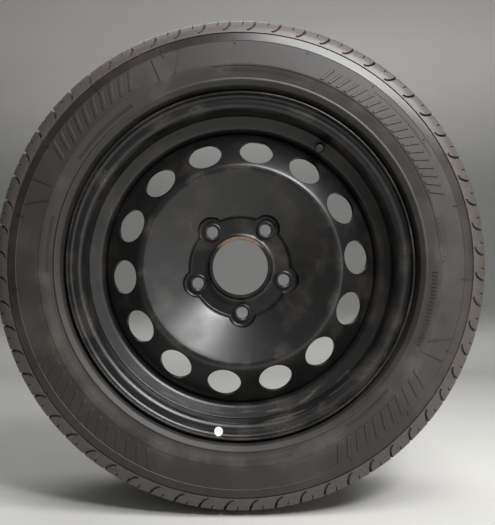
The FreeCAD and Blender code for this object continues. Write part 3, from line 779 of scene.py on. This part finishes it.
class WHEEL_OT_tyre(bpy.types.Operator):
    """Turn the tyre with its tread grooves, and cut the shoulder slots and sipes"""

    bl_idname = "wheel.tyre"
    bl_label = "Tyre"

    def execute(self, context):
        sizes = context.scene.wheel_tyre
        side = sidewall_line()
        shoulder = side[-1]
        crown_radius, crown_half = TYRE_CROWN
        fall = (crown_radius - shoulder.x) / (shoulder.y - crown_half)
        tread = [(shoulder.x, -shoulder.y)]
        for middle in GROOVES:
            for across, depth in (
                (-GROOVE_TOP / 2, 0), (-GROOVE_FLOOR / 2, GROOVE_DEPTH),
                (GROOVE_FLOOR / 2, GROOVE_DEPTH), (GROOVE_TOP / 2, 0),
            ):
                place = middle + across
                top = crown_radius - max(0, abs(place) - crown_half) * fall
                tread.append((top - depth, place))
            if middle == GROOVES[0]:
                tread.append((crown_radius, -crown_half))
            if middle == GROOVES[2]:
                tread.append((crown_radius, crown_half))
        section = [(point.x, -point.y) for point in side[:-1]] + tread
        section += [(point.x, point.y) for point in reversed(side)]
        inner = rounded([(*side[0], 0), *reversed(TYRE_LINER)])[1:]
        section += [(point.x, point.y) for point in inner]
        section += [(point.x, -point.y) for point in reversed(inner)]
        tyre = lathe("tyre_moulded", section)
        spacing = math.tau / sizes.slot_count
        for side_sign in (-1, 1):
            slot = self.cutter(SLOT_TRACK, side_sign, sizes.slot_width)
            repeat(slot, sizes.slot_count, spacing)
            combine(tyre, slot, "DIFFERENCE")
            sipe = self.cutter(SIPE_TRACK, side_sign, sizes.sipe_width)
            put(sipe, clock_turn(spacing / 2))
            repeat(sipe, sizes.slot_count, spacing)
            combine(tyre, sipe, "DIFFERENCE")
        edit(tyre)
        bpy.ops.mesh.remove_doubles(threshold=TYRE_SEAM * MM)
        finish_edit()
        complete(tyre, "wheel", "Vulcanised tyre rubber", ["tyre"], sharp=32)
        return {"FINISHED"}

    def cutter(self, track, side, width):
        """A blade that follows a track over the shoulder, square to the tyre's surface."""
        floor = []
        top = []
        for index, (radius, place, shift, depth) in enumerate(track):
            before = track[max(0, index - 1)]
            after = track[min(len(track) - 1, index + 1)]
            out = Vector((after[1] - before[1], before[0] - after[0])).normalized()
            for row, height in ((floor, -depth), (top, CUT_RISE)):
                reach = radius + out.x * height
                across = (place + out.y * height) * side
                row.append(clock_turn(shift / radius) @ Vector((reach, across, 0)) * MM)
        blade = draw_line("shoulder_cutter", floor)
        bpy.ops.mesh.extrude_region_move()
        shape = bmesh.from_edit_mesh(blade.data)
        for vert in shape.verts:
            if vert.select:
                nearest = min(range(len(floor)), key=lambda index: (floor[index] - vert.co).length)
                vert.co = top[nearest]
        finish_edit()
        modify(blade, "SOLIDIFY", thickness=width, offset=0.0)
        edit(blade)
        clean_up()
        finish_edit()
        return blade


class WHEEL_OT_sidewall_relief(bpy.types.Operator):
    """Raise plain bars, ticks and thin ribs on the outboard sidewall"""

    bl_idname = "wheel.sidewall_relief"
    bl_label = "Sidewall relief"

    # Rows of bars: (first and last clock angle, inner and outer radius, then the width, spacing and
    # slant of a bar in degrees)
    ROWS = [
        (21.0, 66.0, 249.8, 267.0, 1.0, 2.5, -2.0),
        (121.5, 151.0, 254.0, 276.0, 1.1, 3.0, -2.4),
        (204.5, 243.0, 254.0, 275.5, 1.1, 3.2, 2.4),
        (298.5, 329.0, 250.5, 272.0, 1.1, 3.0, -2.4),
        (15.4, 356.7, 274.0, 284.5, 0.3, 18.947, 0.0),
        (30.0, 52.0, 270.5, 273.5, 0.25, 0.75, 0.0),
        (1.0, 14.0, 250.0, 258.0, 0.3, 1.1, 1.0),
        (70.0, 95.0, 241.0, 245.0, 0.25, 0.75, 0.0),
        (124.0, 146.0, 236.5, 240.5, 0.25, 0.75, 0.0),
        (165.0, 182.0, 236.5, 240.5, 0.25, 0.75, 0.0),
        (206.0, 250.0, 237.5, 243.5, 0.35, 1.3, 0.0),
        (262.0, 285.0, 240.0, 243.0, 0.25, 0.75, 0.0),
        (304.0, 320.0, 236.5, 240.0, 0.25, 0.75, 0.0),
        (336.0, 358.0, 238.0, 244.0, 0.3, 1.1, 0.0),
        (108.5, 109.0, 250.0, 277.0, 0.3, 5.0, -3.0),
        (113.2, 113.5, 248.0, 277.0, 0.3, 5.0, 0.0),
        (157.0, 157.5, 252.0, 277.0, 0.3, 5.0, 0.0),
        (161.0, 161.5, 250.0, 277.0, 0.3, 5.0, 3.0),
        (334.6, 335.0, 246.0, 277.0, 0.3, 5.0, 0.0),
        (338.0, 338.5, 250.0, 277.0, 0.3, 5.0, 3.0),
    ]
    # Thin ribs: (first and last clock angle, radius, width)
    RIBS = [
        (2.0, 98.0, 247.6, 1.2),
        (176.0, 290.0, 234.6, 0.8),
    ]

    def execute(self, context):
        sizes = context.scene.wheel_tyre
        line = sidewall_line()
        height = sizes.relief_height / MM
        bars = []
        for first, last, inner, outer, width, spacing, slant in self.ROWS:
            bar = self.bar(line, inner, outer, math.radians(width), math.radians(slant), height)
            count = int((last - first) / spacing) + 1
            put(bar, clock_turn(math.radians(first)))
            repeat(bar, count, math.radians(spacing))
            bars.append(bar)
        for first, last, radius, width in self.RIBS:
            low = radius - width / 2
            high = radius + width / 2
            rib = self.bar(line, low, high, math.radians(last - first), 0, height * RIB_SHARE)
            put(rib, clock_turn(math.radians(first)))
            bars.append(rib)
        relief = join("sidewall_relief", bars)
        complete(relief, "wheel", "Vulcanised tyre rubber")
        return {"FINISHED"}

    def bar(self, line, inner, outer, width, slant, height):
        """One raised bar that follows the sidewall from one radius to another."""
        count = max(1, math.ceil((outer - inner) / BAR_STEP))
        points = []
        for step in range(count + 1):
            radius = inner + (outer - inner) * step / count
            angle = slant * step / count
            out = sidewall_at(line, radius) + height
            points.append(Vector((radius * math.cos(angle), -out, radius * math.sin(angle))) * MM)
        bar = draw_line("relief_bar", points)
        steps = max(1, round(width / BAR_TURN_STEP))
        bpy.ops.mesh.spin(steps=steps, angle=width, center=(0, 0, 0), axis=SPIN_AXIS)
        clean_up()
        finish_edit()
        face_towards(bar, points[0], Vector((0, -1, 0)))
        modify(bar, "SOLIDIFY", thickness=(height + BAR_ROOT) * MM, offset=-1.0)
        if WIDE_BAR < width < LONG_RIB:
            modify(
                bar, "BEVEL", width=BAR_BEVEL * MM, segments=1, limit_method="ANGLE", angle_limit=SHARP_EDGE
            )
        return bar


class WHEEL_OT_rim(bpy.types.Operator):
    """Roll the rim from its section and punch the valve hole"""

    bl_idname = "wheel.rim"
    bl_label = "Rim"

    def execute(self, context):
        sizes = context.scene.wheel_steel
        corners = [(radius, -place, bend) for radius, place, bend in RIM_FLANGE]
        corners += RIM_WELL
        corners += reversed(RIM_FLANGE)
        rim = lathe("rim_rolled", rounded(corners), closed=False)
        radius, place = WELL_MIDDLE
        face_towards(rim, Vector((radius * MM, place * MM, 0)), Vector((1, 0, 0)))
        modify(rim, "SOLIDIFY", thickness=sizes.rim_gauge, offset=-1.0, use_even_offset=True)
        modify(
            rim, "BEVEL", width=LIP_ROUND * MM, segments=3, limit_method="ANGLE", angle_limit=SHARP_EDGE
        )
        hole = lathe("valve_hole_cutter", plug(VALVE_HOLE, VALVE_HOLE_REACH), steps=40)
        put(hole, valve_frame())
        combine(rim, hole, "DIFFERENCE")
        complete(rim, "wheel", "Black stoving enamel", ["rim"])
        return {"FINISHED"}


class WHEEL_OT_disc(bpy.types.Operator):
    """Press the disc with its lobed pad, collar, vents and bolt seats"""

    bl_idname = "wheel.disc"
    bl_label = "Wheel disc"

    def execute(self, context):
        sizes = context.scene.wheel_steel
        disc = lathe("disc_pressed", divided(rounded(DISC_FRONT)), closed=False)
        radius, place = PAD_MIDDLE
        face_towards(disc, Vector((radius * MM, place * MM, 0)), Vector((0, -1, 0)))
        modify(disc, "SOLIDIFY", thickness=sizes.disc_gauge, offset=-1.0, use_even_offset=True)
        gauge = sizes.disc_gauge / MM
        lobe = LOBE_RADIUS + LOBE_WALL
        lobes = self.at_bolts(sizes, [
            (0, gauge + PROUD, 0), (lobe, gauge + PROUD, LOBE_BEND), (lobe, FORM_END, 0), (0, FORM_END, 0),
        ])
        behind = PAD_FRONT + gauge + PROUD + PAST
        behind_bowl = lathe("behind_bowl", [
            (BOWL_BACK[0][0], behind), *BOWL_BACK, (BOWL_BACK[-1][0], behind),
        ])
        combine(lobes, behind_bowl, "INTERSECT")
        combine(disc, lobes, "UNION")
        combine(disc, self.at_bolts(sizes, POCKET), "DIFFERENCE")
        combine(disc, self.at_bolts(sizes, BOSS), "UNION")
        hole = sizes.bolt_hole / 2 / MM
        seat = [
            (0, gauge + PAST, 0),
            (hole + HOLE_FLARE, gauge + PAST, 0),
            (hole, gauge - HOLE_FLARE_DEPTH, 0),
        ]
        seat += [(hole + wider, place, 0) for wider, place in SEAT]
        seat.append((0, SEAT[-1][1], 0))
        combine(disc, self.at_bolts(sizes, seat), "DIFFERENCE")
        self.punch_vents(disc, sizes)
        edit(disc)
        bpy.ops.mesh.remove_doubles(threshold=DISC_SEAM * MM)
        bpy.ops.mesh.normals_make_consistent(inside=False)
        finish_edit()
        complete(disc, "wheel", "Black stoving enamel", ["wheel_disc"])
        return {"FINISHED"}

    def at_bolts(self, sizes, form):
        """One turned form at each bolt."""
        section = rounded([(radius, PAD_FRONT + place, bend) for radius, place, bend in form])
        tool = lathe("bolt_tool", section, steps=48)
        put(tool, clock_turn(CLOCK) @ Matrix.Translation((sizes.bolt_circle / 2, 0, 0)))
        repeat(tool, sizes.bolt_count, math.tau / sizes.bolt_count)
        return tool

    def punch_vents(self, disc, sizes):
        """Cut the ring of vents square to the slope that they stand on."""
        run = SLOPE_END[0] - SLOPE_START[0]
        rise = SLOPE_END[1] - SLOPE_START[1]
        lean = math.atan(rise / run)
        place = SLOPE_START[1] + (sizes.vent_circle / MM - SLOPE_START[0]) * rise / run
        tool = lathe("vent_cutter", plug(sizes.vent_diameter / 2 / MM, VENT_REACH), steps=72)
        put(
            tool,
            clock_turn(CLOCK) @ Matrix.Translation((sizes.vent_circle, place * MM, 0))
            @ Matrix.Rotation(lean, 4, "Z"),
        )
        repeat(tool, sizes.vent_count, math.tau / sizes.vent_count)
        combine(disc, tool, "DIFFERENCE")


def valve_frame():
    """Where the valve stands on the rim: its own Y axis runs out along the stem."""
    seat = Matrix.Translation((VALVE_RADIUS * MM, VALVE_PLACE * MM, 0))
    return clock_turn(CLOCK) @ seat @ Matrix.Rotation(math.pi - VALVE_LEAN, 4, "Z")


class WHEEL_OT_valve(bpy.types.Operator):
    """Mould the valve's rubber body and its fluted dust cap"""

    bl_idname = "wheel.valve"
    bl_label = "Valve"

    FLUTE_STEPS = 4

    def execute(self, context):
        sizes = context.scene.wheel_valve
        body = lathe("valve_rubber_body", rounded(VALVE_BODY), steps=48)
        put(body, valve_frame())
        complete(body, "wheel", "Moulded valve rubber", ["valve_body"])

        outer = sizes.cap_diameter / 2 / MM
        steps = sizes.flute_count * self.FLUTE_STEPS
        cap = lathe("dust_cap", rounded([
            (CAP_BORE, CAP_MOUTH, 0),
            (outer - CAP_CHAMFER, CAP_MOUTH, 0),
            (outer, CAP_MOUTH + CAP_CHAMFER, 0),
            (outer, CAP_TOP - 1.0, 0.8),
            (outer - CAP_SHOULDER, CAP_TOP, 0.6),
            (0, CAP_TOP, 0),
            (0, CAP_BORE_END, 0),
            (CAP_BORE, CAP_BORE_END, 0),
        ]), steps=steps)
        edit(cap)
        shape = bmesh.from_edit_mesh(cap.data)
        for vert in shape.verts:
            column = round(math.atan2(vert.co.z, vert.co.x) / math.tau * steps) % self.FLUTE_STEPS
            outside = math.hypot(vert.co.x, vert.co.z) > (outer - FLUTE_EDGE) * MM
            vert.select = column == 0 and outside and vert.co.y < (CAP_TOP - CAP_CHAMFER) * MM
        shape.select_flush_mode()
        inwards = 1 - sizes.flute_depth / (sizes.cap_diameter / 2)
        bpy.ops.transform.resize(value=(inwards, 1, inwards), center_override=(0, 0, 0))
        finish_edit()
        put(cap, valve_frame())
        complete(cap, "cap", "Moulded cap plastic", ["valve_cap"])
        return {"FINISHED"}


class WHEEL_OT_valve_spring(bpy.types.Operator):
    """Set in a copy of the valve's spring at its resting length; the real spring shortens as the pin is
    pressed
    """

    bl_idname = "wheel.valve_spring"
    bl_label = "Valve spring"

    def execute(self, context):
        coil = bpy.data.objects.new("spring_coil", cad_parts["valve_spring"].data.copy())
        context.collection.objects.link(coil)
        edit(coil)
        bpy.ops.mesh.remove_doubles(threshold=COIL_SEAM * MM)
        finish_edit()
        complete(coil, "wheel", "Bright spring wire", ["valve_spring"])
        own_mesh(coil)
        return {"FINISHED"}


class WHEEL_OT_kept_pieces(bpy.types.Operator):
    """Give the welds, the dot and the valve's inner pieces their finishes"""

    bl_idname = "wheel.kept_pieces"
    bl_label = "Kept pieces"

    PIECES = {
        "disc_welds": "Black stoving enamel",
        "match_dot": "Matt white adhesive film",
        "valve_stem": "Turned brass",
        "valve_core_barrel": "Turned brass",
        "valve_core_seal": "Moulded valve rubber",
        "valve_pin": "Turned brass",
        "valve_poppet": "Moulded valve rubber",
        "valve_cap_washer": "Moulded valve rubber",
    }

    def execute(self, context):
        for node, finish in self.PIECES.items():
            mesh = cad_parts[node].data
            mesh.materials.clear()
            mesh.materials.append(finish_named(finish))
        return {"FINISHED"}


class WHEEL_OT_stage(bpy.types.Operator):
    """Set the sweep of floor and backdrop, the soft lights and the camera"""

    bl_idname = "wheel.stage"
    bl_label = "Stage"

    # Lamps: (name, place, aim, width and height in metres, power in watts)
    LAMPS = [
        ("front_softbox", (0.47, -1.08, 0.82), (0.0, 0.0, 0.0), 0.27, 0.27, 13.0),
        ("side_softbox", (1.0, -1.25, -0.05), (0.0, 0.0, 0.0), 1.0, 1.0, 4.0),
        ("upper_softbox", (0.66, -0.68, 1.04), (0.66, 0.0, 0.0), 1.15, 0.5, 22.0),
        ("overhead_softbox", (-0.3, 0.7, 1.6), (0.0, 0.0, 0.0), 1.4, 1.4, 14.0),
    ]
    SENSOR = 36.0
    SWEEP_HALF_WIDTH = 7.0
    SWEEP_FRONT = -6.0
    SWEEP_BEND = 0.5
    SWEEP_BEND_STEPS = 8
    SWEEP_TOP = 4.0
    # Heights between which the sweep's colour turns from the floor to the grey of painted shade, and to its
    # paler top of painted light
    PAINTED_SHADE_HEIGHTS = (-0.23, -0.04)
    PAINTED_LIGHT_HEIGHTS = (0.40, 1.15)
    AIR = (0.95, 0.98, 1.0, 1.0)
    AIR_STRENGTH = 0.13

    def execute(self, context):
        colours = context.scene.wheel_finishes
        sizes = context.scene.wheel_stage
        floor = CAD_BOX[0][2]
        back = sizes.backdrop_place
        bend = self.SWEEP_BEND
        side = -self.SWEEP_HALF_WIDTH
        points = [Vector((side, self.SWEEP_FRONT, floor))]
        for step in range(self.SWEEP_BEND_STEPS + 1):
            turn = math.pi / 2 * step / self.SWEEP_BEND_STEPS
            points.append(Vector((
                side, back - bend + bend * math.sin(turn), floor + bend - bend * math.cos(turn)
            )))
        points.append(Vector((side, back, self.SWEEP_TOP)))
        sweep = draw_line("studio_sweep", points)
        bpy.ops.mesh.extrude_region_move(TRANSFORM_OT_translate={"value": (-2 * side, 0, 0)})
        finish_edit()
        face_towards(sweep, points[0], Vector((0, 0, 1)))
        activate(sweep)
        bpy.ops.object.shade_smooth()
        sweep.data.materials.append(sweep_paint(colours, self.PAINTED_SHADE_HEIGHTS, self.PAINTED_LIGHT_HEIGHTS))

        for name, place, aim, width, height, power in self.LAMPS:
            deselect()
            bpy.ops.object.light_add(type="AREA", location=place)
            lamp = bpy.context.object
            lamp.name = name
            lamp.data.shape = "RECTANGLE"
            lamp.data.size = width
            lamp.data.size_y = height
            lamp.data.energy = power
            lamp.rotation_euler = (Vector(aim) - Vector(place)).to_track_quat("-Z", "Y").to_euler()

        world = bpy.data.worlds.new("Studio air")
        world.use_nodes = True
        context.scene.world = world
        air = world.node_tree.nodes["Background"]
        air.inputs["Color"].default_value = self.AIR
        air.inputs["Strength"].default_value = self.AIR_STRENGTH

        deselect()
        bpy.ops.object.camera_add(location=sizes.camera_place, rotation=(math.pi / 2, 0, 0))
        camera = bpy.context.object
        camera.data.lens = sizes.lens
        camera.data.sensor_width = self.SENSOR
        camera.data.shift_x, camera.data.shift_y = sizes.shift
        context.scene.camera = camera
        context.scene.view_settings.view_transform = "Standard"
        return {"FINISHED"}


STEPS = [
    WHEEL_OT_tyre,
    WHEEL_OT_sidewall_relief,
    WHEEL_OT_rim,
    WHEEL_OT_disc,
    WHEEL_OT_valve,
    WHEEL_OT_valve_spring,
    WHEEL_OT_kept_pieces,
    WHEEL_OT_stage,
]


class WHEEL_PT_panel(bpy.types.Panel):
    """The wheel's steps"""

    bl_idname = "WHEEL_PT_panel"
    bl_label = "Steel wheel and tyre"
    bl_space_type = "VIEW_3D"
    bl_region_type = "UI"
    bl_category = "Wheel"

    def draw(self, context):
        for step in STEPS:
            self.layout.operator(step.bl_idname)


GROUPS = {
    "wheel_tyre": TyreSizes,
    "wheel_steel": WheelSizes,
    "wheel_valve": ValveSizes,
    "wheel_finishes": Finishes,
    "wheel_stage": StageSizes,
}


def register():
    for name, group in GROUPS.items():
        bpy.utils.register_class(group)
        setattr(bpy.types.Scene, name, bpy.props.PointerProperty(type=group))
    for step in STEPS:
        bpy.utils.register_class(step)
    bpy.utils.register_class(WHEEL_PT_panel)


def unregister():
    bpy.utils.unregister_class(WHEEL_PT_panel)
    for step in reversed(STEPS):
        bpy.utils.unregister_class(step)
    for name, group in GROUPS.items():
        delattr(bpy.types.Scene, name)
        bpy.utils.unregister_class(group)


def main():
    register()
    bpy.ops.wheel.tyre()
    bpy.ops.wheel.sidewall_relief()
    bpy.ops.wheel.rim()
    bpy.ops.wheel.disc()
    bpy.ops.wheel.valve()
    bpy.ops.wheel.valve_spring()
    bpy.ops.wheel.kept_pieces()
    bpy.ops.wheel.stage()


if __name__ == "__main__":
    main()
